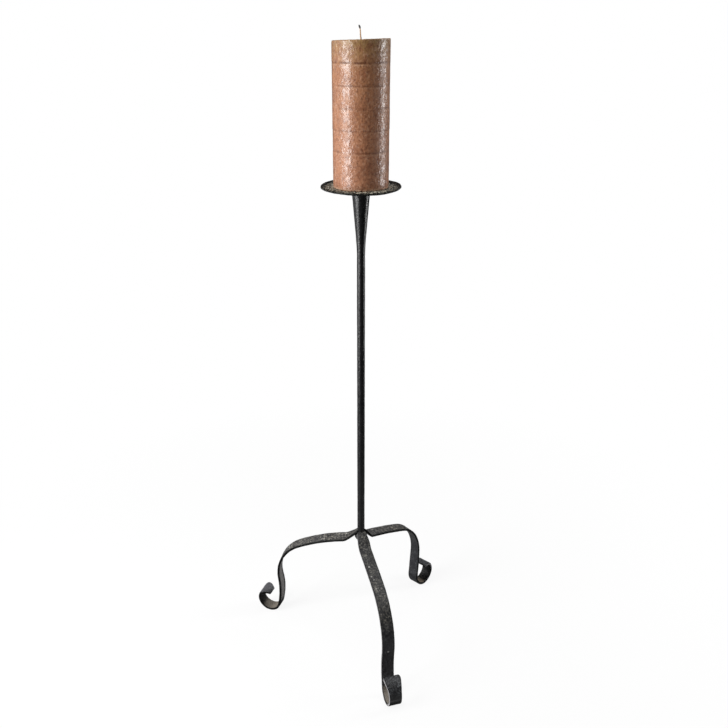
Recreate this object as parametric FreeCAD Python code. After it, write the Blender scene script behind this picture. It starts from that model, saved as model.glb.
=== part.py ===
import FreeCAD, Part
import os
from math import cos, degrees, radians, sin, tan

# Floor candlestick of forged iron with a pillar candle. Millimetres, +Z up.
# The origin is on the floor, on the stem's axis, and the front leg points along -Y.
# Each leg is one flat bar, laid out as a smith bends it: a list of (length, turn in degrees) along
# its middle, starting at the stem. A turn is positive where the bar curls upwards.

V = FreeCAD.Vector
ORIGIN = V(0, 0, 0)
Y = V(0, 1, 0)
Z = V(0, 0, 1)
FULL_TURN = 360

# Stem: a round bar with a tenon turned on its top end.
STEM_D = 11.1
STEM_BOTTOM_Z = 168.0
STEM_TOP_Z = 612.0
STEM_CHAMFER = 0.6
TENON_D = 6.0
TENON_LENGTH = 24.0

# Cone under the pan: straight down to CONE_SWEEP_Z, then a hollow sweep into the narrow neck.
CONE_TOP_D = 24.2
CONE_SWEEP_Z = 640.0
CONE_SWEEP_D = 13.6
CONE_NECK_D = 10.7
CONE_SWEEP_HOLLOW = 0.22

# Drip pan: hammered sheet, flat under the candle, with a raised rim.
PAN_D = 102.8
PAN_SEAT_Z = 703.0
PAN_SHEET = 2.0
PAN_FLAT_R = 43.5
PAN_RIM_RISE = 2.4
PAN_RIM_WIDTH = 1.8

# Pricket: a point on a round shoulder. Its shank goes through the pan into the cone.
SHANK_D = 6.0
SHANK_LENGTH = 20.0
SHOULDER_D = 12.0
SHOULDER_HEIGHT = 2.0
SPIKE_HEIGHT = 40.0
SPIKE_TIP_D = 1.2

# Candle. Its top is cut a little out of level and rises towards TOP_RISE_AZIMUTH.
CANDLE_D = 70.0
CANDLE_HEIGHT = 171.0
CANDLE_EDGE = 1.0
TOP_SLOPE = 1.9
TOP_RISE_AZIMUTH = -16.0
SPIKE_CLEARANCE = 0.05

# Wick: a braid with a dipped bead at its end. It leans away from the side that the top rises to.
WICK_D = 1.9
WICK_GAP_OVER_SPIKE = 6.0
WICK_FREE_HEIGHT = 14.6
WICK_BEND_RADIUS = 43.0
BEAD_D = 2.7

# Legs. An azimuth is counter-clockwise from +X, seen from above. heading is the slope of the bar
# where it leaves the stem. The last tip_length of each bar is spread to tip_width.
STRAP_WIDTH = 18.6
STRAP_THICKNESS = 4.0
STRAP_START_R = 3.0
ROOT_WIDTH = 13.0
ROOT_TAPER = 11.0
FOOT_FLAT_DEPTH = 0.35
LEGS = {
    "leg_front": {
        "azimuth": -90.0,
        "heading": -44.5,
        "bends": [(25, 0), (6, 32), (67, -5), (97, -80.5), (61.5, 22), (23, 92), (44, 119), (16, 44)],
        "tip_width": 25.5,
        "tip_length": 23.0,
        "tip_round": 6.0,
    },
    "leg_right": {
        "azimuth": 32.0,
        "heading": -52.5,
        "bends": [(19, 0), (4.5, 34.5), (79, -5), (85, -66.5), (48, -7), (34, 79), (27, 87), (39.5, 118)],
        "tip_width": 25.0,
        "tip_length": 24.0,
        "tip_round": 3.0,
    },
    "leg_left": {
        "azimuth": 145.0,
        "heading": -42.5,
        "bends": [(24, 0), (8.5, 28.5), (81, -15.5), (82.5, -68), (53.5, 20), (29, 98), (35, 106), (18, 112)],
        "tip_width": 28.0,
        "tip_length": 26.0,
        "tip_round": 10.5,
    },
}

# Weld metal that fills the corners between the stem and the three legs: (radius, height) of its
# widest ring and of a point on its hollow upper side.
WELD_TOP_Z = 193.0
WELD_RING = (9.6, 176.5)
WELD_HOLLOW = (6.9, 183.5)
WELD_BOTTOM_Z = 170.5


def line(a, b):
    """Edge between two (radius, height) points of a section in the XZ plane."""
    return Part.LineSegment(V(a[0], 0, a[1]), V(b[0], 0, b[1])).toShape()


def arc(a, middle, b):
    """Arc through three (radius, height) points of a section in the XZ plane."""
    return Part.Arc(V(a[0], 0, a[1]), V(middle[0], 0, middle[1]), V(b[0], 0, b[1])).toShape()


def polyline(points):
    return [line(a, b) for a, b in zip(points, points[1:])]


def lathe(edges):
    """Solid of revolution about +Z from the closed outline of its half section."""
    return Part.Face(Part.Wire(edges)).revolve(ORIGIN, Z, FULL_TURN)


def bore(d, bottom, top):
    """Cylinder on the stem's axis, for cutting a hole."""
    return Part.makeCylinder(d / 2, top - bottom, V(0, 0, bottom))


def direction(azimuth):
    return V(cos(radians(azimuth)), sin(radians(azimuth)), 0)


def make_stem():
    r = STEM_D / 2
    tenon_top = STEM_TOP_Z + TENON_LENGTH
    outline = [
        (0, STEM_BOTTOM_Z),
        (r - STEM_CHAMFER, STEM_BOTTOM_Z),
        (r, STEM_BOTTOM_Z + STEM_CHAMFER),
        (r, STEM_TOP_Z - STEM_CHAMFER),
        (CONE_NECK_D / 2, STEM_TOP_Z),
        (TENON_D / 2, STEM_TOP_Z),
        (TENON_D / 2, tenon_top),
        (0, tenon_top),
        (0, STEM_BOTTOM_Z),
    ]
    return lathe(polyline(outline))


def make_stem_cone():
    """Cone with a blind hole at each end, for the stem's tenon and for the pricket's shank."""
    top = PAN_SEAT_Z - PAN_SHEET
    neck = (CONE_NECK_D / 2, STEM_TOP_Z)
    sweep = (CONE_SWEEP_D / 2, CONE_SWEEP_Z)
    hollow = ((neck[0] + sweep[0]) / 2 - CONE_SWEEP_HOLLOW, (neck[1] + sweep[1]) / 2)
    edges = polyline([sweep, (CONE_TOP_D / 2, top), (0, top), (0, STEM_TOP_Z), neck])
    cone = lathe(edges + [arc(neck, hollow, sweep)])
    cone = cone.cut(bore(TENON_D, STEM_TOP_Z, STEM_TOP_Z + TENON_LENGTH))
    return cone.cut(bore(SHANK_D, PAN_SEAT_Z - SHANK_LENGTH, top))


def make_drip_pan():
    r = PAN_D / 2
    hole = SHANK_D / 2
    under = PAN_SEAT_Z - PAN_SHEET
    rim_top = PAN_SEAT_Z + PAN_RIM_RISE
    lip = PAN_RIM_WIDTH / 2
    rim_inside = r - PAN_RIM_WIDTH
    slope = r - PAN_FLAT_R
    outer = arc((PAN_FLAT_R, under), (r - 0.4 * slope, under + 0.3 * PAN_RIM_RISE),
                (r, under + PAN_RIM_RISE))
    crown = arc((r, rim_top - lip), (r - lip, rim_top), (rim_inside, rim_top - lip))
    inner = arc((rim_inside, rim_top - lip), (r - 0.5 * slope, PAN_SEAT_Z + 0.25 * PAN_RIM_RISE),
                (PAN_FLAT_R, PAN_SEAT_Z))
    edges = [line((hole, under), (PAN_FLAT_R, under)), outer]
    edges += [line((r, under + PAN_RIM_RISE), (r, rim_top - lip)), crown, inner]
    edges += polyline([(PAN_FLAT_R, PAN_SEAT_Z), (hole, PAN_SEAT_Z), (hole, under)])
    return lathe(edges)


def make_candle_spike():
    shoulder_top = PAN_SEAT_Z + SHOULDER_HEIGHT
    outline = [
        (0, PAN_SEAT_Z - SHANK_LENGTH),
        (SHANK_D / 2, PAN_SEAT_Z - SHANK_LENGTH),
        (SHANK_D / 2, PAN_SEAT_Z),
        (SHOULDER_D / 2, PAN_SEAT_Z),
        (SHOULDER_D / 2, shoulder_top),
        (SHANK_D / 2, shoulder_top),
        (SPIKE_TIP_D / 2, PAN_SEAT_Z + SPIKE_HEIGHT),
        (0, PAN_SEAT_Z + SPIKE_HEIGHT),
        (0, PAN_SEAT_Z - SHANK_LENGTH),
    ]
    return lathe(polyline(outline))


def spike_hole():
    """The hollow that the pricket leaves in the wax, a clearance larger all round."""
    gap = SPIKE_CLEARANCE
    shoulder_top = PAN_SEAT_Z + SHOULDER_HEIGHT + gap
    tip = PAN_SEAT_Z + SPIKE_HEIGHT + gap
    outline = [
        (0, PAN_SEAT_Z),
        (SHOULDER_D / 2 + gap, PAN_SEAT_Z),
        (SHOULDER_D / 2 + gap, shoulder_top),
        (SHANK_D / 2 + gap, shoulder_top),
        (SPIKE_TIP_D / 2 + gap, tip),
        (0, tip),
        (0, PAN_SEAT_Z),
    ]
    return lathe(polyline(outline))


def above_candle():
    """Block over the sloping cut at the candle's top."""
    size = 2 * CANDLE_D
    middle = V(0, 0, PAN_SEAT_Z + CANDLE_HEIGHT)
    block = Part.makeBox(size, size, size, middle - V(size / 2, size / 2, 0))
    block.rotate(middle, direction(TOP_RISE_AZIMUTH).cross(Z), TOP_SLOPE)
    return block


def make_candle_wax():
    r = CANDLE_D / 2
    top = PAN_SEAT_Z + CANDLE_HEIGHT + CANDLE_D * tan(radians(TOP_SLOPE))
    outline = [
        (0, PAN_SEAT_Z),
        (r - CANDLE_EDGE, PAN_SEAT_Z),
        (r, PAN_SEAT_Z + CANDLE_EDGE),
        (r, top),
        (0, top),
        (0, PAN_SEAT_Z),
    ]
    wax = lathe(polyline(outline)).cut(above_candle()).cut(spike_hole())
    return wax.cut(bore(WICK_D, PAN_SEAT_Z + SPIKE_HEIGHT + WICK_GAP_OVER_SPIKE, top))


def make_candle_wick():
    """Straight through the wax, then an arc that leans over, and the bead on its end."""
    start = PAN_SEAT_Z + SPIKE_HEIGHT + WICK_GAP_OVER_SPIKE
    bend = PAN_SEAT_Z + CANDLE_HEIGHT
    lean = direction(TOP_RISE_AZIMUTH + 180)
    turn = WICK_FREE_HEIGHT / WICK_BEND_RADIUS
    section = Part.Face(Part.Wire(Part.makeCircle(WICK_D / 2, V(0, 0, bend), Z)))
    centre = V(0, 0, bend) + lean * WICK_BEND_RADIUS
    free = section.revolve(centre, Z.cross(lean), degrees(turn))
    end = centre - lean * (WICK_BEND_RADIUS * cos(turn)) + Z * (WICK_BEND_RADIUS * sin(turn))
    buried = Part.makeCylinder(WICK_D / 2, bend - start, V(0, 0, start))
    return buried.fuse([free, Part.makeSphere(BEAD_D / 2, end)]).removeSplitter()


def walk(start, bends):
    """Stations (x, z, heading) of a bar: its start, then the middle and the end of each bend."""
    x, z, heading = start
    stations = [start]
    for length, turn in bends:
        for _ in range(2):
            half = radians(turn) / 2
            chord = length / 2
            if turn:
                chord = length / radians(turn) * 2 * sin(half / 2)
            x += chord * cos(heading + half / 2)
            z += chord * sin(heading + half / 2)
            heading += half
            stations.append((x, z, heading))
    return stations


def offset(station, distance):
    """Point at a distance above a station, square to the bar."""
    x, z, heading = station
    return (x - distance * sin(heading), z + distance * cos(heading))


def bar(start, bends, width):
    """Bent flat bar in the XZ plane, centred on it, from a start station along its bends."""
    stations = walk(start, bends)
    half = STRAP_THICKNESS / 2
    faces = []
    for side in (half, -half):
        for i, (length, turn) in enumerate(bends):
            a, middle, b = [offset(s, side) for s in stations[2 * i:2 * i + 3]]
            faces.append(arc(a, middle, b) if turn else line(a, b))
    for s in (stations[0], stations[-1]):
        faces.append(line(offset(s, half), offset(s, -half)))
    section = Part.Face(Part.Wire(Part.__sortEdges__(faces)))
    section.translate(Y * (-width / 2))
    return section.extrude(Y * width)


def split(bends, tail_length):
    """The bends before the last tail_length of the bar, and those in it."""
    head, tail = list(bends), []
    left = tail_length
    while left > 0:
        length, turn = head.pop()
        share = min(1, left / length)
        tail.insert(0, (length * share, turn * share))
        if share < 1:
            head.append((length * (1 - share), turn * (1 - share)))
        left -= length * share
    return head, tail


def spade(start, end, width, round_r):
    """Prism with the spread tip's outline, square to the line from the tip's start to its end."""
    a = V(start[0], 0, start[1])
    along = V(end[0], 0, end[1]) - a
    reach = along.Length + STRAP_THICKNESS / 2
    along.normalize()
    square = along.cross(Y)
    narrow = STRAP_WIDTH / 2
    wide = width / 2
    shoulder = 0.45 * reach
    corner = round_r * (1 - cos(radians(45)))

    def at(u, v):
        return a + along * u + Y * v - square * reach

    edges = [Part.LineSegment(at(-reach, narrow), at(-reach, -narrow)).toShape()]
    edges.append(Part.LineSegment(at(reach, round_r - wide), at(reach, wide - round_r)).toShape())
    for side in (1, -1):
        n = side * narrow
        w = side * wide
        edges.append(Part.LineSegment(at(-reach, n), at(0, n)).toShape())
        edges.append(Part.Arc(at(0, n), at(0.6 * shoulder, n + 0.5 * (w - n)), at(shoulder, w)).toShape())
        edges.append(Part.LineSegment(at(shoulder, w), at(reach - round_r, w)).toShape())
        edges.append(Part.Arc(at(reach - round_r, w), at(reach - corner, w - side * corner),
                              at(reach, w - side * round_r)).toShape())
    outline = Part.Face(Part.Wire(Part.__sortEdges__(edges)))
    return outline.extrude(square * (2 * reach))


def root_trim():
    """Wedges that narrow a bar's root, one each side, for a leg along +X."""
    root = STEM_D / 2
    slope = (STRAP_WIDTH - ROOT_WIDTH) / 2 / ROOT_TAPER
    wedges = []
    for side in (1, -1):
        corners = [
            V(0, side * (ROOT_WIDTH / 2 - slope * root), 0),
            V(root + ROOT_TAPER, side * STRAP_WIDTH / 2, 0),
            V(root + ROOT_TAPER, side * STRAP_WIDTH, 0),
            V(0, side * STRAP_WIDTH, 0),
        ]
        face = Part.Face(Part.makePolygon(corners + corners[:1]))
        wedges.append(face.extrude(Z * STEM_TOP_Z))
    return wedges


def make_leg(leg):
    """Bar, spread tip and tapered root, set down so that the scroll's ground flat is on the floor."""
    head, tail = split(leg["bends"], leg["tip_length"])
    start = (STRAP_START_R, 0, radians(leg["heading"]))
    tip_start = walk(start, head)[-1]
    tip_end = walk(tip_start, tail)[-1]
    body = bar(start, head, STRAP_WIDTH)
    tip = bar(tip_start, tail, leg["tip_width"])
    tip = tip.common(spade(tip_start, tip_end, leg["tip_width"], leg["tip_round"]))
    strap = body.fuse(tip).removeSplitter()
    strap.translate(Z * (-strap.optimalBoundingBox(False).ZMin - FOOT_FLAT_DEPTH))
    floor = Part.makeBox(400, 100, 10, V(0, -50, -10))
    strap = strap.cut(root_trim() + [floor, bore(STEM_D, STEM_BOTTOM_Z, STEM_TOP_Z)])
    strap = max(strap.Solids, key=lambda solid: solid.Volume)
    strap.rotate(ORIGIN, Z, leg["azimuth"])
    return strap


def make_legs():
    """The legs, each dressed at its root to fit against those before it."""
    legs = {}
    for name, leg in LEGS.items():
        strap = make_leg(leg)
        if legs:
            strap = strap.cut(list(legs.values()))
        legs[name] = max(strap.Solids, key=lambda solid: solid.Volume)
    return legs


def make_root_weld(legs):
    top = (STEM_D / 2, WELD_TOP_Z)
    edges = polyline([top, (STEM_D / 2, WELD_BOTTOM_Z), WELD_RING])
    collar = lathe(edges + [arc(WELD_RING, WELD_HOLLOW, top)]).cut(legs)
    return max(collar.Solids, key=lambda solid: solid.Volume)


def main():
    legs = make_legs()
    parts = {
        "stem": make_stem(),
        "stem_cone": make_stem_cone(),
        "drip_pan": make_drip_pan(),
        "candle_spike": make_candle_spike(),
        "candle_wax": make_candle_wax(),
        "candle_wick": make_candle_wick(),
        "root_weld": make_root_weld(list(legs.values())),
        **legs,
    }
    os.makedirs("parts", exist_ok=True)
    for name, shape in parts.items():
        box = shape.BoundBox
        print(f"{name}: {shape.isValid()}, {len(shape.Solids)} solid, {shape.Volume:.0f} mm3, "
              f"X {box.XMin:.1f} {box.XMax:.1f}, Y {box.YMin:.1f} {box.YMax:.1f}, "
              f"Z {box.ZMin:.1f} {box.ZMax:.1f}")
        shape.exportStep(f"parts/{name}.step")


main()
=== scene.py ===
"""Looks of a forged-iron floor candlestick with a pillar candle.

Metres, +Z up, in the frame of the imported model: the origin is on the floor, on the stem's axis,
and the front leg points along -Y. Every CAD node is replaced by a mesh with the marks of its
making: hammered bar, hammered sheet, poured wax and braided cotton.
"""

from math import cos, pi, radians, sin
from types import SimpleNamespace

import bpy
import numpy as np
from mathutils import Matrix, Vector, noise


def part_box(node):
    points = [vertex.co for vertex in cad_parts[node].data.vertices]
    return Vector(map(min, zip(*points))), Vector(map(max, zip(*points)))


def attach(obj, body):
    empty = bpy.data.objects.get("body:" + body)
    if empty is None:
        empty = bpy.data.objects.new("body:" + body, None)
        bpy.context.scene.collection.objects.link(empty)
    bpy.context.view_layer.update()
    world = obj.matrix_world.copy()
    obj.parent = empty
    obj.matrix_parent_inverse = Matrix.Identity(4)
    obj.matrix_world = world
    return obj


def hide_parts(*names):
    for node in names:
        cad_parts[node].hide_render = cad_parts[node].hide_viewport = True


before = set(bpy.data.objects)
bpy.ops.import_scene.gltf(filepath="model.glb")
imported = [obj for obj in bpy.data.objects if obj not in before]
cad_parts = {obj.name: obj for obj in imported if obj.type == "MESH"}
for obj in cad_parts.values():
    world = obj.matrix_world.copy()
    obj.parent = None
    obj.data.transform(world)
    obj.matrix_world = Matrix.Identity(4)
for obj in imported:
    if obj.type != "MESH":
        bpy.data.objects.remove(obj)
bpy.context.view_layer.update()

MM = 0.001
FULL_TURN = 2 * pi

# The three legs, one bent bar each. A place along a bar is in millimetres from its end at the stem.
# Side 1 or -1 is the bar's left or right edge, seen from the stem, and the outer face is the lower
# one on the run.
#   azimuth, heading: the leg's way out from the stem, and the bar's slope where it starts, in degrees
#   bends: (length in millimetres, turn in degrees) of each stretch, in order
#   tip_width, tip_length, tip_round: the spade that the bar is spread into, and its corners' radius
#   spread: the share of the spade over which it widens
#   tilt: (side that stays level, millimetres that the other side stands higher along the run)
#   paleness_and_top_light, fleck_light: how pale the scale on the upper face is, partly its own tone
#       and partly painted light from above, and how bright its flecks are, painted light in part too
#   lining, lining_share, lining_end: colour of the face inside the scroll, worn bare iron with painted
#       light from the floor, how much of it is that colour, and the place beyond which it is painted
#       black as shade
#   spade_light, spade_start: how pale the outer face is painted towards the tip, as painted light from
#       above, and where that starts
#   side_wear_and_highlight: (side, start, end, strength) of each pale stretch of the bar's narrow
#       sides, wear and a painted highlight
#   under_paleness: how pale the outer face is where the bar stands upright
#   tread: (start, end) of the stretch by the floor, whose outer face is painted black as shade
LEGS = {
    "leg_front": {
        "azimuth": -90.0,
        "heading": -44.5,
        "bends": [(25, 0), (6, 32), (67, -5), (97, -80.5),
                  (61.5, 22), (23, 92), (44, 119), (16, 44)],
        "tip_width": 25.5 * MM,
        "tip_length": 28.0 * MM,
        "tip_round": 6.0 * MM,
        "spread": 0.95,
        "tilt": (1, 0.0),
        "paleness_and_top_light": 2.5,
        "fleck_light": 1.0,
        "lining": (0.23, 0.205, 0.175),
        "lining_share": 1.0,
        "lining_end": 400,
        "spade_light": 0.9,
        "spade_start": 300,
        "side_wear_and_highlight": [(-1, 0, 256, 0.30), (-1, 286, 400, 1.0)],
        "under_paleness": 0.0,
        "tread": (262, 304),
    },
    "leg_right": {
        "azimuth": 32.0,
        "heading": -52.5,
        "bends": [(19, 0), (4.5, 34.5), (79, -5), (85, -66.5),
                  (48, -7), (34, 79), (27, 87), (39.5, 118)],
        "tip_width": 25.0 * MM,
        "tip_length": 24.0 * MM,
        "tip_round": 3.0 * MM,
        "spread": 0.45,
        "tilt": (-1, 1.9),
        "paleness_and_top_light": 5.6,
        "fleck_light": 2.1,
        "lining": (0.20, 0.165, 0.13),
        "lining_share": 0.95,
        "lining_end": 279,
        "spade_light": 3.2,
        "spade_start": 292,
        "side_wear_and_highlight": [(-1, 305, 400, 0.45)],
        "under_paleness": 0.0,
        "tread": (262, 282),
    },
    "leg_left": {
        "azimuth": 145.0,
        "heading": -42.5,
        "bends": [(24, 0), (8.5, 28.5), (81, -15.5), (82.5, -68),
                  (53.5, 20), (29, 98), (35, 106), (18, 112)],
        "tip_width": 28.0 * MM,
        "tip_length": 26.0 * MM,
        "tip_round": 13.0 * MM,
        "spread": 0.45,
        "tilt": (1, 2.5),
        "paleness_and_top_light": 5.5,
        "fleck_light": 2.1,
        "lining": (0.25, 0.22, 0.185),
        "lining_share": 0.9,
        "lining_end": 290,
        "spade_light": 5.5,
        "spade_start": 290,
        "side_wear_and_highlight": [],
        "under_paleness": 1.0,
        "tread": (242, 282),
    },
}
STRAP_WIDTH = 18.6 * MM
STRAP_THICKNESS = 4.0 * MM
STRAP_START_R = 3.0 * MM
STRAP_CORNER = 1.25 * MM
STRAP_STEP = 0.85 * MM
EDGE_RIPPLE = 0.09 * MM
ROOT_WIDTH = 13.0 * MM
ROOT_TAPER = 11.0 * MM
FOOT_FLAT_DEPTH = 0.35 * MM
# Places along a bar, in millimetres: the tilted run, the scroll's length and the end of the paler
# stretch of the outer face.
TILTED_RUN = (10, 218)
SCROLL_LENGTH = 90
UNDER_PALE_END = 244
# Bright chips on the top of a leg: (place along the bar, place across it, size), in millimetres.
CHIPS = {
    "leg_front": [(61, -3.5, 1.2), (78, -5.0, 1.1), (84, -3.0, 0.7), (99, -4.0, 0.9), (191.5, -0.5, 1.3)],
    "leg_left": [(28, -5.5, 1.4), (68, 3.5, 1.0)],
    "leg_right": [(38, 5.0, 1.1)],
}

# Pan: its flat middle, the edge's bead, and how its rim has been knocked about.
PAN_SHEET = 2.0 * MM
PAN_HOLE_R = 3.0 * MM
PAN_FLAT_R = 43.5 * MM
PAN_LIP = 1.15 * MM
RIM_CURVE = 1.8
RIM_WAVE = 0.25 * MM
RIM_DROOP = 1.45 * MM
RIM_SETTLE = 0.45 * MM

# Candle: height of a poured layer, how strong each seam between layers is, from the top down, and
# the slope of the top and its azimuth. A seam is a groove, shaded above it and pale on a ledge below.
CANDLE_RADIUS = 35 * MM
LAYER = 25.2 * MM
LAYER_STEP = 0.10 * MM
SEAM_STRENGTHS = (1.0, 0.55, 0.5, 0.35, 0.6, 0.15, 0.15)
GROOVE_WIDTH = 1.1 * MM
GROOVE_DEPTH = 0.13 * MM
SHADE_REACH = 1.6 * MM
LEDGE_DROP = 2.2 * MM
LEDGE_WIDTH = 0.9 * MM
TOP_SLOPE = radians(1.9)
TOP_RISE_AZIMUTH = radians(-16)

# Wick: how far it leans out of the wax and wobbles. Its bead's length and radius are in millimetres.
WICK_LEAN = 2.35 * MM
WICK_WOBBLE = 0.30 * MM
WICK_SWAY = 0.25 * MM
STRAND_PITCH = 2.6 * MM
BEAD_LENGTH = 4.2
BEAD_RADIUS = 1.2

# Camera: the way to the viewer from the stem, and the pitch of the view.
VIEW_AZIMUTH = radians(-106.1)
VIEW_DISTANCE = 0.976
VIEW_HEIGHT = 0.872
VIEW_PITCH = radians(22.83)
SENSOR_WIDTH = 36
FOCAL_LENGTH = 37.93
SHIFT_X = 3 / 728

# Studio: each softbox's turn from the viewer's side in degrees, its distance and height, the height
# that it points at, its width and length, and its watts.
SOFTBOXES = {
    "left_softbox": (-61, 1.35, 0.85, 0.7, 0.8, 1.7, 34),
    "side_softbox": (-112, 1.35, 0.85, 0.7, 0.9, 1.7, 3.5),
    "right_softbox": (100, 1.35, 0.85, 0.7, 0.36, 1.7, 15),
    "top_softbox": (-20, 0.15, 2.1, 0.2, 1.0, 1.0, 7),
    "back_softbox": (160, 1.1, 1.35, 0.1, 1.3, 0.8, 3),
}
FLOOR_RADIUS = 14
FLOOR_GLOW = 0.88
FLOOR_WHITE = 0.12
CARD_RADIUS = 0.5
CARD_WHITE = 0.25
CARD_DEPTH = 2 * MM
FILL_COLOUR = (0.94, 0.97, 1)
FILL_LIGHT = 0.01


# ---------------------------------------------------------------- meshes

# How far the noise moves from one seed to the next.
NOISE_SHIFT = 17.31
WAVE_SHIFT = 7.7
# Hammer marks: places tried, reach as shares of their spacing, depth as shares of the deepest, and
# how alike two normals are (their cosine) where marks keep apart, and where one mark reaches.
MARK_TRIES = 6000
MARK_REACH = (0.85, 1.3)
MARK_DEPTH = (0.55, 1.0)
APART_COSINE = 0.5
REACH_COSINE = 0.35


def noise_at(points, scale, seed, octaves=3):
    """Fractal noise of about -1 to 1 at an array of points. scale is in features per metre."""
    flat = points.reshape(-1, 3) * scale + seed * NOISE_SHIFT
    values = [noise.fractal(Vector(p), 1.0, 2.0, octaves) for p in flat]
    return np.array(values).reshape(points.shape[:-1])


def wave(along, pitch, seed):
    """Smooth random wave of about -1 to 1 along an array of lengths."""
    values = [noise.noise(Vector((a / pitch, seed * WAVE_SHIFT, 0.5))) for a in along.ravel()]
    return np.array(values).reshape(along.shape)


def smoothstep(value):
    """0 up to 0, 1 from 1 on, and a smooth rise between."""
    value = np.clip(value, 0, 1)
    return value * value * (3 - 2 * value)


def rising(value, start, end):
    """0 up to start and 1 from end on, or 1 up to end and 0 from start on if end is the lower."""
    return smoothstep((value - start) / (end - start))


def between(value, first, last, rise, fall):
    """0 outside first to last, with a smooth rise after first and a smooth fall before last."""
    return rising(value, first, first + rise) * rising(value, last, last - fall)


def hump(value, width):
    """1 at 0, falling away smoothly on both sides."""
    return np.exp(-(value / width) ** 2)


def grid_normals(grid, closed=False):
    """Outward normals of a grid of rings. Each ring is closed; closed says that the rings are too."""
    if closed:
        along = np.roll(grid, -1, 0) - np.roll(grid, 1, 0)
    else:
        along = np.gradient(grid, axis=0)
    around = np.roll(grid, -1, 1) - np.roll(grid, 1, 1)
    normals = np.cross(around, along)
    length = np.linalg.norm(normals, axis=2, keepdims=True)
    return normals / np.maximum(length, 1e-12)


def hammer(grid, spacing, depth, seed, closed=False):
    """Presses overlapping hammer marks into a grid. Returns it with the height left, 1 on a ridge."""
    rng = np.random.default_rng(seed)
    normals = grid_normals(grid, closed).reshape(-1, 3)
    points = grid.reshape(-1, 3).copy()
    centres = []
    for index in rng.permutation(len(points))[:MARK_TRIES]:
        if centres:
            near = np.linalg.norm(points[centres] - points[index], axis=1) < spacing
            same_way = normals[centres] @ normals[index] > APART_COSINE
            if np.any(near & same_way):
                continue
        centres.append(index)
    pressed = np.zeros(len(points))
    for index in centres:
        reach = spacing * rng.uniform(*MARK_REACH)
        deep = rng.uniform(*MARK_DEPTH)
        distance = np.linalg.norm(points - points[index], axis=1) / reach
        mark = deep * (1 - distance**2) * (normals @ normals[index] > REACH_COSINE)
        pressed = np.maximum(pressed, mark)
    points -= normals * (pressed * depth)[:, None]
    return points.reshape(grid.shape), (1 - pressed).reshape(grid.shape[:2])


def roughen(grid, scale, seed, height, sunk=0.0, closed=False):
    """Raises a grid along its normals by fine noise, times a height or one for each point, less sunk."""
    grain = noise_at(grid, scale, seed) * height - sunk
    return grid + grid_normals(grid, closed) * grain[..., None]


def skin(name, grid, material, closed=False, fields=None):
    """Mesh object over a grid of closed rings, with capped ends or, if closed, joined ends.

    Each field is a value at every point of the grid, which its material reads by name.
    """
    rings, sides = grid.shape[:2]
    points = [tuple(p) for p in grid.reshape(-1, 3)]
    faces = []
    for i in range(rings if closed else rings - 1):
        a, b = i * sides, (i + 1) % rings * sides
        for j in range(sides):
            k = (j + 1) % sides
            faces.append((a + j, a + k, b + k, b + j))
    if not closed:
        for ring, inward in ((0, True), (rings - 1, False)):
            centre = len(points)
            points.append(tuple(grid[ring].mean(0)))
            for j in range(sides):
                a, b = ring * sides + j, ring * sides + (j + 1) % sides
                faces.append((b, a, centre) if inward else (a, b, centre))
    mesh = bpy.data.meshes.new(name)
    mesh.from_pydata(points, [], faces)
    mesh.polygons.foreach_set("use_smooth", [True] * len(mesh.polygons))
    for field, values in (fields or {}).items():
        values = np.broadcast_to(values, (rings, sides)).ravel()
        padded = np.concatenate([values, np.zeros(len(points) - values.size)])
        mesh.attributes.new(field, "FLOAT", "POINT").data.foreach_set("value", padded)
    mesh.validate()
    mesh.update()
    mesh.materials.append(material)
    obj = bpy.data.objects.new(name, mesh)
    bpy.context.scene.collection.objects.link(obj)
    return obj


def place(obj, node, body):
    """Puts a finished piece on its body in place of its CAD node."""
    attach(obj, body)
    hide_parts(node)
    return obj


def resample(outline, step):
    """Points along straight runs between (radius, height) points, no more than step apart."""
    points = [outline[0]]
    for a, b in zip(outline, outline[1:]):
        count = max(1, int(np.ceil(np.hypot(b[0] - a[0], b[1] - a[1]) / step)))
        points += [(a[0] + (b[0] - a[0]) * i / count, a[1] + (b[1] - a[1]) * i / count)
                   for i in range(1, count + 1)]
    return np.array(points)


def lathe(outline, sides):
    """Grid of rings about the Z axis from (radius, height) points."""
    angles = np.arange(sides) * FULL_TURN / sides
    radius, height = outline[:, 0][:, None], outline[:, 1][:, None]
    return np.stack([radius * np.cos(angles), radius * np.sin(angles),
                     height + 0 * angles], axis=2)


def from_axis(grid):
    """Distance from the Z axis, and unit vectors away from it."""
    radius = np.hypot(grid[..., 0], grid[..., 1])
    outward = grid * (1, 1, 0) / np.maximum(radius, 1e-9)[..., None]
    return radius, outward


def azimuth_of(grid):
    """Angle about the Z axis, from +X."""
    return np.arctan2(grid[..., 1], grid[..., 0])


def turned(grid, angle):
    """A grid turned about the Z axis."""
    x, y, z = np.moveaxis(grid, -1, 0)
    return np.stack([x * cos(angle) - y * sin(angle), x * sin(angle) + y * cos(angle), z], axis=-1)


# ---------------------------------------------------------------- legs


def centreline(start, heading, bends, step):
    """Stations (x, z, heading, length so far) along a bent bar."""
    x, z = start
    length = 0.0
    stations = [(x, z, heading, length)]
    for size, turn in bends:
        count = max(1, int(np.ceil(size / step)))
        piece, swing = size / count, radians(turn) / count
        for _ in range(count):
            x += piece * cos(heading + swing / 2)
            z += piece * sin(heading + swing / 2)
            heading += swing
            length += piece
            stations.append((x, z, heading, length))
    return np.array(stations)


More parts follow.
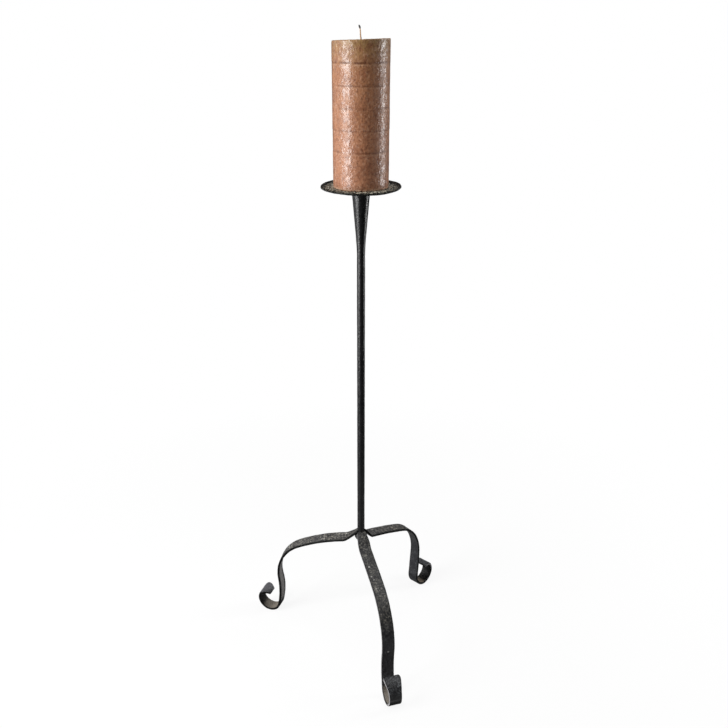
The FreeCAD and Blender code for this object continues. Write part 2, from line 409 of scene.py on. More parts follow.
def strap_half_width(line, leg):
    """Half the width of a leg's bar at each station: narrow root, plain bar, round-cornered spade."""
    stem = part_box("stem")[1].x
    grow = smoothstep(0.8 * (line[:, 0] - stem) / ROOT_TAPER + 0.2)
    half = ROOT_WIDTH / 2 + (STRAP_WIDTH - ROOT_WIDTH) / 2 * grow
    first = np.searchsorted(line[:, 3], line[-1, 3] - leg["tip_length"])
    a, b = line[first, :2], line[-1, :2]
    chord = np.linalg.norm(b - a)
    reach = chord + STRAP_THICKNESS / 2
    along = (line[:, :2] - a) @ (b - a) / chord
    along[:first] = 0
    half += (leg["tip_width"] - STRAP_WIDTH) / 2 * smoothstep(along / (leg["spread"] * reach))
    corner = leg["tip_round"]
    past = np.clip(along - (reach - corner), 0, 0.999 * corner)
    return half - corner + np.sqrt(corner**2 - past**2)


def strap_section(sides_across, sides_corner, sides_edge):
    """Outline of a flat bar with round corners, as rows (side, up, angle).

    side and up, from -1 to 1, place the centre of the rounding, and angle points from it to the
    outline: 90 degrees on the upper face, 180 on side -1, and so on round.
    """
    corners = ((1, 1), (-1, 1), (-1, -1), (1, -1), (1, 1))
    marks = []
    for quarter, (a, b) in enumerate(zip(corners, corners[1:])):
        facing = pi / 2 * (quarter + 1)
        count = sides_edge if quarter % 2 else sides_across
        for share in np.arange(count) / count:
            marks.append((a[0] + (b[0] - a[0]) * share, a[1] + (b[1] - a[1]) * share, facing))
        for share in np.arange(sides_corner) / sides_corner:
            marks.append((*b, facing + pi / 2 * share))
    return np.array(marks).T[:, None, :]


def strap(line, leg, seed):
    """Cross sections of a leg's bar at each station: where each point of the outline lies and faces."""
    length = line[:, 3, None]
    half = strap_half_width(line, leg)[:, None]
    thick = STRAP_THICKNESS / 2 * (0.97 + 0.03 * wave(length, 14 * MM, seed))
    corner = STRAP_CORNER * (1 + 0.25 * wave(length, 9 * MM, seed + 3))
    corner = np.minimum(corner, thick * 0.9)
    side, up, angle = strap_section(sides_across=20, sides_corner=5, sides_edge=3)
    ripple = EDGE_RIPPLE * np.abs(side) * (wave(length, 8 * MM, seed + 5) * (side > 0)
                                           + wave(length, 8 * MM, seed + 9) * (side < 0))
    lateral = side * (half - corner) + corner * np.cos(angle) + np.sign(side) * ripple
    raised = up * (thick - corner) + corner * np.sin(angle)
    level_side, height = leg["tilt"]
    along = length / MM
    tilted = between(along, *TILTED_RUN, rise=22, fall=45)
    raised = raised + height * MM * tilted * (1 - level_side * lateral / half) / 2
    # The rim zone of each face: hammer marks fade there, and the material paints it near black as shade.
    edge = rising(half - np.abs(lateral), 2.2 * MM, 0)
    return SimpleNamespace(along=along, heading=line[:, 2, None], half=half, lateral=lateral,
                           raised=raised, side=side, up=up, angle=angle, edge=edge)


def leg_fields(name, leg, bar):
    """Where a leg is dark, pale, chipped or worn, from 0 to 1 at each point, for its material: the dark is
    painted shade, and some of the pale is painted light.
    """
    upper, outer = bar.up > 0, bar.up < 0
    from_side = (bar.half - np.abs(bar.lateral)) / MM
    from_far = (bar.half + leg["tilt"][0] * bar.lateral) / MM
    rim = rising(from_side, 1.8, 0.3)
    wide_rim = rising(from_side, 4.35, 1.35)

    chip = 0 * bar.lateral
    for along, across, size in CHIPS[name]:
        away = np.hypot(bar.along - along, bar.lateral / MM - across) / size
        chip = np.maximum(chip, rising(away, 1.5, 0.5) * upper)

    tread_start, tread_end = leg["tread"]
    # A pale band where the outer face turns under past the tread: wear and a painted reflection of the
    # floor.
    wear_and_highlight = 0.20 * hump(bar.along - tread_end - 2.0, 1.2) * outer * (1 - rim)
    on_side = rising(np.abs(np.cos(bar.angle)), 0.55, 0.85)
    # Pale stretches of the narrow sides: wear and a painted highlight.
    for side, first, last, strength in leg["side_wear_and_highlight"]:
        worn = strength * between(bar.along, first, last, 4, 4) * on_side * (bar.side * side > 0)
        wear_and_highlight = np.maximum(wear_and_highlight, worn)

    upright = rising(-np.sin(bar.heading), 0.7, 0.9)
    upright = upright * rising(bar.along, UNDER_PALE_END, UNDER_PALE_END - 7) * leg["under_paleness"]
    under = upright * rising(-np.sin(bar.angle), 0.5, 0.8) * (1 - wide_rim) * rising(from_far, 3, 6)
    # Painted shade: the far rim of the outer face, where the bar stands upright, is painted black.
    far_rim_shade = upright * outer * rising(from_far, 5, 2)
    # Painted shade: the outer face by the floor is painted black.
    tread = between(bar.along, tread_start, tread_end, 5, 2) * outer
    scroll = bar.along[-1] - SCROLL_LENGTH
    return {
        # The rims, the far rim and the tread, which the material paints near black as shade.
        "edge": np.maximum(np.maximum(bar.edge, far_rim_shade), tread),
        "inside": rising(bar.along, scroll, scroll + 6) * upper * (1 - rim),
        # 1 on the lining, 0 past its end, where the scroll's inside is painted black as shade.
        "pale": rising(bar.along, leg["lining_end"], leg["lining_end"] - 8),
        "chip": chip,
        "wear_and_highlight": wear_and_highlight,
        "under": under,
        "outer": outer,
        "spade": rising(bar.along, leg["spade_start"], leg["spade_start"] + 12) * outer,
    }


def make_leg(name, leg, seed):
    """One leg: a flat bar bent from the stem to its scroll, hammered, and dressed flat underfoot."""
    bends = [(length * MM, turn) for length, turn in leg["bends"]]
    line = centreline((STRAP_START_R, 0), radians(leg["heading"]), bends, STRAP_STEP)
    bar = strap(line, leg, seed)
    grid = np.stack([line[:, 0, None] - bar.raised * np.sin(bar.heading), bar.lateral,
                     line[:, 1, None] + bar.raised * np.cos(bar.heading)], axis=2)
    grid[..., 2] -= grid[..., 2].min() + FOOT_FLAT_DEPTH
    pressed, ridge = hammer(grid, spacing=6.0 * MM, depth=0.28 * MM, seed=seed)
    grid += (pressed - grid) * (1 - 0.75 * bar.edge)[..., None]
    grid = roughen(grid, scale=420, seed=seed, height=0.07 * MM, sunk=0.03 * MM)
    grid[..., 2] = np.maximum(grid[..., 2], 0)
    grid = turned(grid, radians(leg["azimuth"]))
    return skin(name.replace("leg", "strap"), grid, iron("forged iron, " + name, seed, leg),
                fields={"ridge": ridge, **leg_fields(name, leg, bar)})


# ---------------------------------------------------------------- stem, cone, pan, spike and weld


def make_stem():
    """Round bar, a little uneven along its length, from the weld to the cone."""
    low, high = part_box("stem")
    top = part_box("stem_cone")[0].z
    pole = 0.4 * MM
    chamfer = 0.6 * MM
    outline = resample([(pole, low.z), (high.x - chamfer, low.z), (high.x, low.z + chamfer),
                        (high.x, top)], step=1.1 * MM)
    grid = lathe(outline, sides=56)
    swell = 0.10 * MM * wave(outline[:, 1], pitch=30 * MM, seed=2)[:, None, None]
    grid += from_axis(grid)[1] * swell
    grid, ridge = hammer(grid, spacing=7.5 * MM, depth=0.20 * MM, seed=21)
    grid = roughen(grid, scale=420, seed=4, height=0.05 * MM)
    material = iron("forged iron, stem", 5, flecked=0.2, roughness=(0.24, 0.38))
    return skin("stem_bar", grid, material, fields={"ridge": ridge})


def make_cone():
    """Cone that leaves the bar in a hollow curve and then flares straight up to the pan."""
    low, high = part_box("stem_cone")
    pole = 0.4 * MM
    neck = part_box("stem")[1].x - 0.2 * MM
    lap = 0.5 * MM
    curve_r, curve_height, hollow = 6.8 * MM, 28 * MM, 0.22 * MM
    curve_points = 12
    outline = [(pole, low.z - lap), (neck, low.z - lap)]
    for i in range(1, curve_points + 1):
        share = i / curve_points
        outline.append((neck + (curve_r - neck) * share - hollow * sin(pi * share),
                        low.z + curve_height * share))
    outline += [(high.x, high.z), (pole, high.z)]
    grid = lathe(resample(outline, step=1.0 * MM), sides=88)
    grid, ridge = hammer(grid, spacing=8.5 * MM, depth=0.16 * MM, seed=33)
    grid = roughen(grid, scale=380, seed=8, height=0.045 * MM)
    material = iron("forged iron, cone", 11, flecked=0.2, roughness=(0.22, 0.34))
    return skin("pan_cone", grid, material, fields={"ridge": ridge})


def make_pan():
    """Hammered sheet with a raised, beaded rim that droops towards the viewer and is worn uneven."""
    low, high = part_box("drip_pan")
    radius = high.x
    seat = low.z + PAN_SHEET
    rise = high.z - seat
    outline = [(PAN_HOLE_R, low.z), (PAN_FLAT_R, low.z)]
    outline += [(PAN_FLAT_R + (radius - PAN_FLAT_R) * t, low.z + rise * t**RIM_CURVE)
                for t in np.linspace(0.1, 1, 9)]
    for angle in np.linspace(0, pi, 9)[1:-1]:
        outline.append((radius - PAN_LIP + PAN_LIP * cos(angle),
                        high.z - PAN_LIP + PAN_LIP * sin(angle)))
    inner = radius - 2 * PAN_LIP
    outline += [(PAN_FLAT_R + (inner - PAN_FLAT_R) * t, seat + (rise - PAN_LIP) * t**RIM_CURVE)
                for t in np.linspace(1, 0, 10)]
    outline += [(PAN_HOLE_R, seat), (PAN_HOLE_R, low.z)]
    grid = lathe(resample(outline, step=0.75 * MM)[:-1], sides=330)
    grid = hammer(grid, spacing=5.5 * MM, depth=0.30 * MM, seed=41, closed=True)[0]

    radius_here, outward = from_axis(grid)
    bent_from = 36 * MM
    out = smoothstep((radius_here - bent_from) / (radius - bent_from))
    azimuth = azimuth_of(grid)
    waves = RIM_WAVE * np.cos(3 * azimuth + 0.7)
    grid[..., 2] += out * (waves - RIM_DROOP * np.cos(azimuth - VIEW_AZIMUTH) - RIM_SETTLE)
    worn = noise_at(grid * (1, 1, 0), 95, 12, 2) * 0.45 * MM - 0.35 * MM
    grid += outward * (out * worn)[..., None]
    grid = roughen(grid, scale=520, seed=14, height=0.20 * MM * (0.35 + 0.65 * out), closed=True)
    return skin("hammered_pan", grid, pan_iron(), closed=True)


def make_spike():
    """Pricket: shank through the pan, round shoulder on it, and a long point."""
    low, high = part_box("candle_spike")
    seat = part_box("candle_wax")[0].z
    shank = [(2.9 * MM, low.z), (3.0 * MM, seat)]
    shoulder = [(5.8 * MM, seat), (6.0 * MM, seat + 0.4 * MM), (5.8 * MM, seat + 1.8 * MM)]
    point = [(3.1 * MM, seat + 2 * MM), (0.6 * MM, high.z - 0.4 * MM), (0.25 * MM, high.z)]
    outline = resample([(0.3 * MM, low.z)] + shank + shoulder + point, step=0.7 * MM)
    grid, ridge = hammer(lathe(outline, sides=40), spacing=4.0 * MM, depth=0.16 * MM, seed=55)
    return skin("pricket", grid, iron("forged iron, pricket", 17), fields={"ridge": ridge})


def make_weld():
    """Lumpy collar of filler metal where the three bars meet the stem."""
    low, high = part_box("root_weld")
    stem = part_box("stem")[1].x
    pole = 0.6 * MM
    belly = (9.6 * MM, 176.5 * MM)
    neck = (6.9 * MM, 183.5 * MM)
    outline = resample([(pole, low.z), (stem, low.z), belly, neck, (stem + 0.2 * MM, high.z),
                        (pole, high.z)], step=0.6 * MM)
    grid = lathe(outline, sides=72)
    lumps = noise_at(grid, scale=170, seed=31) * 0.9 * MM
    grid += from_axis(grid)[1] * lumps[..., None]
    grid, ridge = hammer(grid, spacing=4.0 * MM, depth=0.25 * MM, seed=63)
    material = iron("forged iron, weld", 23, {**PLAIN_IRON, "paleness_and_top_light": 2.6})
    return skin("root_collar", grid, material, fields={"ridge": ridge})


# ---------------------------------------------------------------- candle


def candle_outline(low, radius, top, tip):
    """(radius, height) points from the top of the spike's hole, round the foot and up to the wick."""
    foot = 1.0 * MM
    socket = 2.05 * MM
    hole = [(0.3 * MM, tip), (0.8 * MM, tip), (3.05 * MM, low + socket), (6.05 * MM, low + socket),
            (6.05 * MM, low)]
    side = [(radius - foot, low), (radius - 0.3 * foot, low + 0.3 * foot), (radius, low + foot),
            (radius, top - 0.9 * MM), (radius - 0.25 * MM, top - 0.3 * MM), (radius - 0.9 * MM, top)]
    wick_well = [(3.5 * MM, top - 0.5 * MM), (1.6 * MM, top - 0.2 * MM), (0.57 * MM, top + 0.3 * MM)]
    return np.concatenate([resample(hole, 3 * MM), resample([hole[-1], side[0]], 2.5 * MM)[1:],
                           resample(side, 0.62 * MM)[1:], resample([side[-1]] + wick_well, 1.1 * MM)[1:]])


def make_candle():
    """Pillar poured in layers, with seams, small steps between layers, crystals and worn edges."""
    low_corner, high_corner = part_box("candle_wax")
    low, radius = low_corner.z, high_corner.x
    top = high_corner.z - radius * np.tan(TOP_SLOPE)
    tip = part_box("candle_spike")[1].z
    grid = lathe(candle_outline(low, radius, top, tip), sides=290)
    radius_here, outward = from_axis(grid)
    azimuth = azimuth_of(grid)
    height = grid[..., 2].copy()
    on_side = smoothstep((radius_here - radius + 3 * MM) / (2 * MM)) * (height > low + 0.2 * MM)
    ring = np.stack([np.cos(azimuth), np.sin(azimuth), 0 * azimuth], axis=2) * radius

    depth = top - height - noise_at(ring, 45, 3, 2) * 0.5 * MM
    seam = np.round(depth / LAYER)
    below = depth - seam * LAYER
    along_seam = ring.copy()
    along_seam[..., 2] = seam * LAYER
    broken = smoothstep(noise_at(along_seam, 75, 6) * 0.9 + 0.68
                        + 0.2 * np.cos(azimuth - TOP_RISE_AZIMUTH))
    broken = broken * np.interp(seam, range(1, len(SEAM_STRENGTHS) + 1), SEAM_STRENGTHS) * (seam > 0)
    groove = hump(below, GROOVE_WIDTH) * broken
    shade = np.where(below < 0, np.exp(below / SHADE_REACH), 0) * broken
    pale_foot = hump(height - low - 1.3 * MM, 1.1 * MM) * smoothstep(noise_at(ring, 150, 41) + 0.75)
    ledge = np.maximum(hump(below - LEDGE_DROP, LEDGE_WIDTH) * broken, 2.2 * pale_foot)

    stretched = grid * (1, 1, 0.8)
    lumps = 0.10 * MM * noise_at(stretched, 210, 9) + 0.06 * MM * noise_at(stretched, 620, 19, 2)
    step = LAYER_STEP * np.sin(np.floor(depth / LAYER) * 2.4 + 1)
    bulge = (lumps - GROOVE_DEPTH * groove + step - 0.18 * MM) * on_side
    grid += outward * bulge[..., None]

    near_top = smoothstep((height - top + 2.2 * MM) / (2 * MM)) * (radius_here > radius / 2)
    crumbled = noise_at(ring, 260, 27)
    grid[..., 2] += near_top * crumbled * 0.28 * MM
    grid += outward * (near_top * (crumbled * 0.35 * MM - 0.2 * MM))[..., None]
    near_foot = smoothstep((low + 1.6 * MM - height) / (1.4 * MM)) * (radius_here > radius * 0.9)
    chipped = np.minimum(noise_at(ring, 210, 35), 0.1) * 0.8 * MM
    grid += outward * (near_foot * chipped)[..., None]

    sloped = smoothstep((height - top + 30 * MM) / (30 * MM)) * (height > tip)
    grid[..., 2] += sloped * radius_here * np.cos(azimuth - TOP_RISE_AZIMUTH) * np.tan(TOP_SLOPE)
    fields = {"groove": groove * on_side, "ledge": ledge * on_side, "shade": shade * on_side}
    return skin("pillar_wax", grid, wax(top), fields=fields)


def make_wick():
    """Three-strand braid, straight in the wax, that leans as it leaves it and ends in a dipped bead."""
    low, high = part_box("candle_wick")
    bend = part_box("candle_wax")[1].z - CANDLE_RADIUS * np.tan(TOP_SLOPE)
    heights = np.concatenate([np.arange(low.z, bend - 3 * MM, 3 * MM),
                              np.linspace(bend - 2 * MM, high.z, 110)])
    rise = np.clip((heights - bend) / (high.z - bend), 0, 1)
    lean = np.array([cos(TOP_RISE_AZIMUTH + pi), sin(TOP_RISE_AZIMUTH + pi), 0])
    across = np.array([-lean[1], lean[0], 0])
    path = heights[:, None] * np.array([0, 0, 1.0])
    path += (WICK_LEAN * rise**1.7 + WICK_WOBBLE * np.sin(rise * FULL_TURN))[:, None] * lean
    path += (WICK_SWAY * np.sin(rise * pi * 1.4))[:, None] * across

    angles = np.arange(24) * FULL_TURN / 24
    to_tip = (high.z - heights) / MM
    from_bead = (to_tip - BEAD_LENGTH / 2) / (BEAD_LENGTH / 2)
    bead = BEAD_RADIUS * np.sqrt(np.clip(1 - from_bead**2, 0, 1))
    bare = smoothstep((to_tip - BEAD_LENGTH * 0.55) / 1.2)
    braid = (0.74 + 0.10 * smoothstep((to_tip - 8) / 6)) * bare
    twist = heights[:, None] / STRAND_PITCH * FULL_TURN / 3
    strands = 0.10 * np.abs(np.sin(1.5 * (angles[None, :] - twist))) * bare[:, None]
    radius = (np.maximum(bead, braid) * MM)[:, None] * (0.95 + strands) + 1e-5
    round_path = np.cos(angles)[None, :, None] * lean - np.sin(angles)[None, :, None] * across
    grid = path[:, None, :] + radius[..., None] * round_path
    grid[..., 2] = np.minimum(grid[..., 2], high.z)
    burnt = smoothstep(1 - (to_tip - BEAD_LENGTH * 0.8) / 1.2)[:, None]
    return skin("braided_wick", grid, cotton(), fields={"burnt": burnt})


# ---------------------------------------------------------------- materials

# Colours are linear red, green and blue. A pair runs from the darkest patches to the palest.
SCALE = ((0.0055, 0.0055, 0.0060), (0.0120, 0.0118, 0.0125))
OUTER_SCALE = ((0.011, 0.011, 0.013), (0.024, 0.024, 0.028))
SPADE_SCALE = ((0.014, 0.014, 0.0155), (0.026, 0.026, 0.028))
# Near black painted on the bars' edges: painted shade.
EDGE_SHADE = (0.003, 0.003, 0.003)
# Black painted inside a scroll past its lining: painted shade.
SCROLL_SHADE = (0.002, 0.002, 0.002)
FLECKS = ((0.230, 0.232, 0.225), (0.290, 0.262, 0.205))
# Flecks on steep faces, dimmer and bluer: painted shade and a painted cool reflection.
STEEP_SHADED_FLECKS = (0.150, 0.156, 0.172)
OUTER_FLECKS = (0.150, 0.160, 0.170)
PALE_UNDER_FACE = (0.27, 0.26, 0.25)
# Pale grey on the narrow sides: wear and a painted highlight.
WORN_AND_LIT_SIDE = (0.45, 0.44, 0.45)
RUBBED_EDGE = (0.11, 0.11, 0.115)
CHIPPED = (0.50, 0.49, 0.46)
# What a leg says of its own looks, for the iron that isn't a leg.
PLAIN_IRON = {"paleness_and_top_light": 1.0, "fleck_light": 1.0, "spade_light": 1.0, "lining": (0.2, 0.18, 0.15),
              "lining_share": 0.0}

PAN_BLACK = ((0.003, 0.003, 0.003), (0.009, 0.009, 0.008))
# Pale specks on the pan's ring: speckle of the sheet and painted glints of its grains.
PAN_SPECK_AND_GLINT = (0.66, 0.62, 0.50)
SPILT_WAX = (0.62, 0.50, 0.38)

# Wax by height, from the foot, 0, to the top, 1, and the colours laid over it.
WAX_LAYERS = ((0.0, (0.41, 0.178, 0.093)), (0.35, (0.41, 0.176, 0.088)), (0.60, (0.40, 0.173, 0.083)),
              (0.80, (0.39, 0.170, 0.077)), (0.89, (0.34, 0.162, 0.068)), (1.0, (0.31, 0.180, 0.068)))
WAX_MOTTLE = (0.25, 0.090, 0.042)
WAX_FROST = (0.74, 0.48, 0.34)
WAX_SPECK = (0.16, 0.055, 0.026)
WAX_SHADE = (0.13, 0.045, 0.020)
WAX_LEDGE = (0.66, 0.42, 0.28)
WAX_GROOVE = (0.115, 0.036, 0.013)
WAX_SHEEN = (1.0, 0.86, 0.76, 1)

WICK_COTTON = ((0.48, 0.30, 0.17), (0.72, 0.50, 0.32))
WICK_BURNT = (0.010, 0.009, 0.008)


def scaled(factor, *colours):
    """Colours times a factor."""
    return [tuple(factor * v for v in colour) for colour in colours]


def rgba(colour):
    """Opaque colour from a grey or (r, g, b)."""
    return (*colour, 1) if isinstance(colour, tuple) else (colour, colour, colour, 1)


class Shader:
    """A Principled material in the making. Its methods add nodes and return their output sockets."""

    def __init__(self, name):
        self.material = bpy.data.materials.new(name)
        self.material.use_nodes = True
        self.tree = self.material.node_tree
        self.tree.nodes.clear()
        self.position = self.add("ShaderNodeTexCoord").outputs["Object"]

    def add(self, kind, inputs=None, **settings):
        node = self.tree.nodes.new(kind)
        for key, value in settings.items():
            setattr(node, key, value)
        for key, value in (inputs or {}).items():
            self.set(node.inputs[key], value)
        return node

    def set(self, socket, value):
        if isinstance(value, bpy.types.NodeSocket):
            self.tree.links.new(value, socket)
        else:
            socket.default_value = value

    def field(self, name):
        """A field of the mesh, or 0 where the mesh has none of that name."""
        return self.add("ShaderNodeAttribute", attribute_name=name).outputs["Fac"]

    def split(self, vector):
        return self.add("ShaderNodeSeparateXYZ", {"Vector": vector}).outputs

    def upward(self):
        """1 where the surface faces up, 0 where it is upright and -1 where it faces down."""
        return self.split(self.add("ShaderNodeNewGeometry").outputs["Normal"])["Z"]

    def length(self, vector):
        return self.add("ShaderNodeVectorMath", {0: vector}, operation="LENGTH").outputs["Value"]

    def stretch(self, x, y, z, shift=0.0):
        """Object coordinates, in which a pattern is stretched by one over each factor."""
        return self.add("ShaderNodeMapping", {"Vector": self.position, "Scale": (x, y, z),
                                              "Location": (shift, shift, shift)}).outputs["Vector"]

    def noise(self, scale, detail=3.0, rough=0.55, vector=None, twist=0.0):
        """Fractal noise about 0.5: features per metre, octaves, strength of the fine ones, twist."""
        return self.add("ShaderNodeTexNoise", {"Vector": vector or self.position, "Scale": scale,
                                               "Detail": detail, "Roughness": rough,
                                               "Distortion": twist}).outputs["Fac"]

    def cells(self, scale, vector, feature="F1"):
        """Distance from the middle of a grain."""
        return self.add("ShaderNodeTexVoronoi", {"Vector": vector, "Scale": scale},
                        feature=feature).outputs["Distance"]

    def ramp(self, value, *stops):
        """Greys or colours by value: each stop is (value, grey or (r, g, b))."""
        node = self.add("ShaderNodeValToRGB", {"Fac": value})
        elements = node.color_ramp.elements
        while len(elements) < len(stops):
            elements.new(1)
        for element, (where, colour) in zip(elements, stops):
            element.position = where
            element.color = rgba(colour)
        return node.outputs["Color"]

    def rise(self, value, start, end):
        """0 up to start, 1 from end on."""
        return self.ramp(value, (start, 0.0), (end, 1.0))

    def fall(self, value, start, end):
        """1 up to start, 0 from end on."""
        return self.ramp(value, (start, 1.0), (end, 0.0))

    def math(self, operation, a, b=0.0):
        return self.add("ShaderNodeMath", {0: a, 1: b}, operation=operation).outputs[0]

    def times(self, first, *others):
        for other in others:
            first = self.math("MULTIPLY", first, other)
        return first

    def mix(self, factor, a, b):
        """Colour a where factor is 0 and b where it is 1. Each is a socket, a grey or (r, g, b)."""
        node = self.add("ShaderNodeMix", {0: factor}, data_type="RGBA")
        for key, colour in ((6, a), (7, b)):
            is_socket = isinstance(colour, bpy.types.NodeSocket)
            self.set(node.inputs[key], colour if is_socket else rgba(colour))
        return node.outputs[2]

    def bump(self, height, strength, distance, normal=None):
        inputs = {"Height": height, "Strength": strength, "Distance": distance}
        if normal:
            inputs["Normal"] = normal
        return self.add("ShaderNodeBump", inputs).outputs["Normal"]

    def finish(self, **inputs):
        shader = self.add("ShaderNodeBsdfPrincipled",
                          {key.replace("_", " "): value for key, value in inputs.items()})
        out = self.add("ShaderNodeOutputMaterial")
        self.tree.links.new(shader.outputs[0], out.inputs["Surface"])
        return self.material


def iron(name, seed, look=PLAIN_IRON, flecked=1.0, roughness=(0.28, 0.48)):
    """Blackened forged iron: charcoal scale, worn to grey on ridges and edges, with a few bright chips.

    Upper faces are painted paler and more flecked, as light from above, and edges near black, as
    painted shade.
    """
    s = Shader(name)
    here = s.stretch(1, 1, 1, shift=seed * 0.37)
    upward = s.upward()
    lit = s.ramp(upward, (0.0, 0.35), (0.65, 1.0))
    facing = s.math("ADD", s.times(lit, 0.85), 0.15)
    edge = s.field("edge")
    patch = s.ramp(s.noise(110, 3, 0.65, here, 0.5), (0.38, 0.45), (0.60, 1.0))
    fleck = s.rise(s.noise(400, 3, 0.6, here, 0.4), 0.47, 0.59)

    cloud = s.rise(s.noise(75, 3, 0.6, here), 0.35, 0.7)
    # The scale is made paler per leg, away from the outer face: partly its own tone, partly painted light
    # from above.
    scale = s.mix(cloud, *scaled(look["paleness_and_top_light"], *SCALE))
    scale = s.mix(s.field("outer"), scale, s.mix(cloud, *OUTER_SCALE))
    # The outer face towards the tip is paler per leg: painted light from above.
    scale = s.mix(s.field("spade"), scale, s.mix(cloud, *scaled(look["spade_light"], *SPADE_SCALE)))
    # Near black on the edges, the far rim and the tread: painted shade.
    scale = s.mix(s.rise(edge, 0.30, 0.90), scale, EDGE_SHADE)

    ridge = s.ramp(s.field("ridge"), (0.35, 0.35), (0.95, 1.0))
    # Flecks of bare iron show mostly where the surface faces up: partly wear, partly painted light from
    # above.
    worn = s.times(patch, fleck, ridge, facing, s.fall(edge, 0.15, 0.75), flecked)
    bare = s.mix(s.noise(48, 2, 0.5, here), *scaled(look["fleck_light"], *FLECKS))
    # On steep faces the flecks are dimmer and bluer: painted shade and a painted cool reflection.
    bare = s.mix(s.fall(upward, 0.10, 0.55), bare, *scaled(look["fleck_light"], STEEP_SHADED_FLECKS))
    bare = s.mix(s.field("outer"), bare, OUTER_FLECKS)
    colour = s.mix(worn, scale, bare)

    # Inside a scroll: the lining is worn bare iron with painted light from the floor, and past its end it
    # is painted black as shade.
    inside = s.field("inside")
    share = look["lining_share"]
    lining = s.mix(s.field("pale"), SCROLL_SHADE, look["lining"])
    colour = s.mix(s.times(inside, s.ramp(patch, (0.0, 0.6 * share), (1.0, share))), colour, lining)
    # The outer face is paler where the bar stands upright.
    colour = s.mix(s.times(s.field("under"), s.ramp(patch, (0.0, 0.6), (1.0, 1.0))), colour, PALE_UNDER_FACE)
    # Pale narrow sides and the band past the tread: wear and a painted highlight.
    colour = s.mix(s.times(s.field("wear_and_highlight"), s.ramp(fleck, (0.0, 0.7), (1.0, 1.0))), colour, WORN_AND_LIT_SIDE)
    rub = s.times(s.rise(edge, 0.55, 1.0), s.rise(s.noise(320, 3, 0.7, here), 0.50, 0.68))
    colour = s.mix(s.times(rub, facing, 0.2), colour, RUBBED_EDGE)
    some = s.rise(s.noise(33, 1, 0.5, here), 0.57, 0.62)
    chips = s.times(s.fall(s.cells(95, here), 0.0, 0.11), some, lit)
    colour = s.mix(s.math("MAXIMUM", chips, s.field("chip")), colour, CHIPPED)

    rough = s.mix(worn, s.mix(s.noise(210, 3, 0.6, here), *roughness), 0.55)
    shine = s.mix(inside, s.ramp(edge, (0.2, 0.55), (0.8, 0.12)), 0.15)
    grain = s.math("ADD", s.noise(600, 4, 0.65, here), s.times(s.cells(480, here), 0.5))
    normal = s.bump(grain, s.math("ADD", s.times(facing, 0.8), 0.2), 0.0005)
    normal = s.bump(s.noise(230, 2, 0.5, here), 0.35, 0.0005, normal)
    return s.finish(Base_Color=colour, Metallic=0.0, Roughness=rough, Specular_IOR_Level=shine,
                    Normal=normal)


def pan_iron():
    """Black hammered sheet with a granular, waxed surface, pale specks on its ring that are partly painted
    glints, and a few flecks of spilt wax by the candle.
    """
    s = Shader("hammered pan iron")
    position = s.split(s.position)
    flat = s.add("ShaderNodeCombineXYZ", {"X": position["X"], "Y": position["Y"]}).outputs[0]
    decimetres = s.times(s.length(flat), 10)
    upside = s.rise(s.upward(), 0.0, 0.3)
    # Pale specks on the upper side of the ring round the candle: speckle of the sheet and painted glints
    # of its grains.
    band = s.ramp(decimetres, (0.33, 0.0), (0.36, 1.0), (0.43, 0.85), (0.47, 0.22), (0.50, 0.10))
    speck = s.times(s.rise(s.noise(400, 3, 0.6), 0.50, 0.57), band, upside)
    colour = s.mix(s.noise(120, 3, 0.6), *PAN_BLACK)
    colour = s.mix(speck, colour, PAN_SPECK_AND_GLINT)
    by_candle = s.fall(decimetres, 0.350, 0.400)
    spilt = s.rise(s.noise(420, 2, 0.5, s.stretch(1, 1, 1, shift=0.9)), 0.53, 0.57)
    colour = s.mix(s.times(by_candle, spilt, upside), colour, SPILT_WAX)
    rough = s.mix(s.noise(500, 2, 0.5), 0.55, 0.80)
    normal = s.bump(s.noise(330, 4, 0.65), 1.0, 0.0011)
    return s.finish(Base_Color=colour, Metallic=0.0, Roughness=rough, Specular_IOR_Level=0.15,
                    Normal=normal)


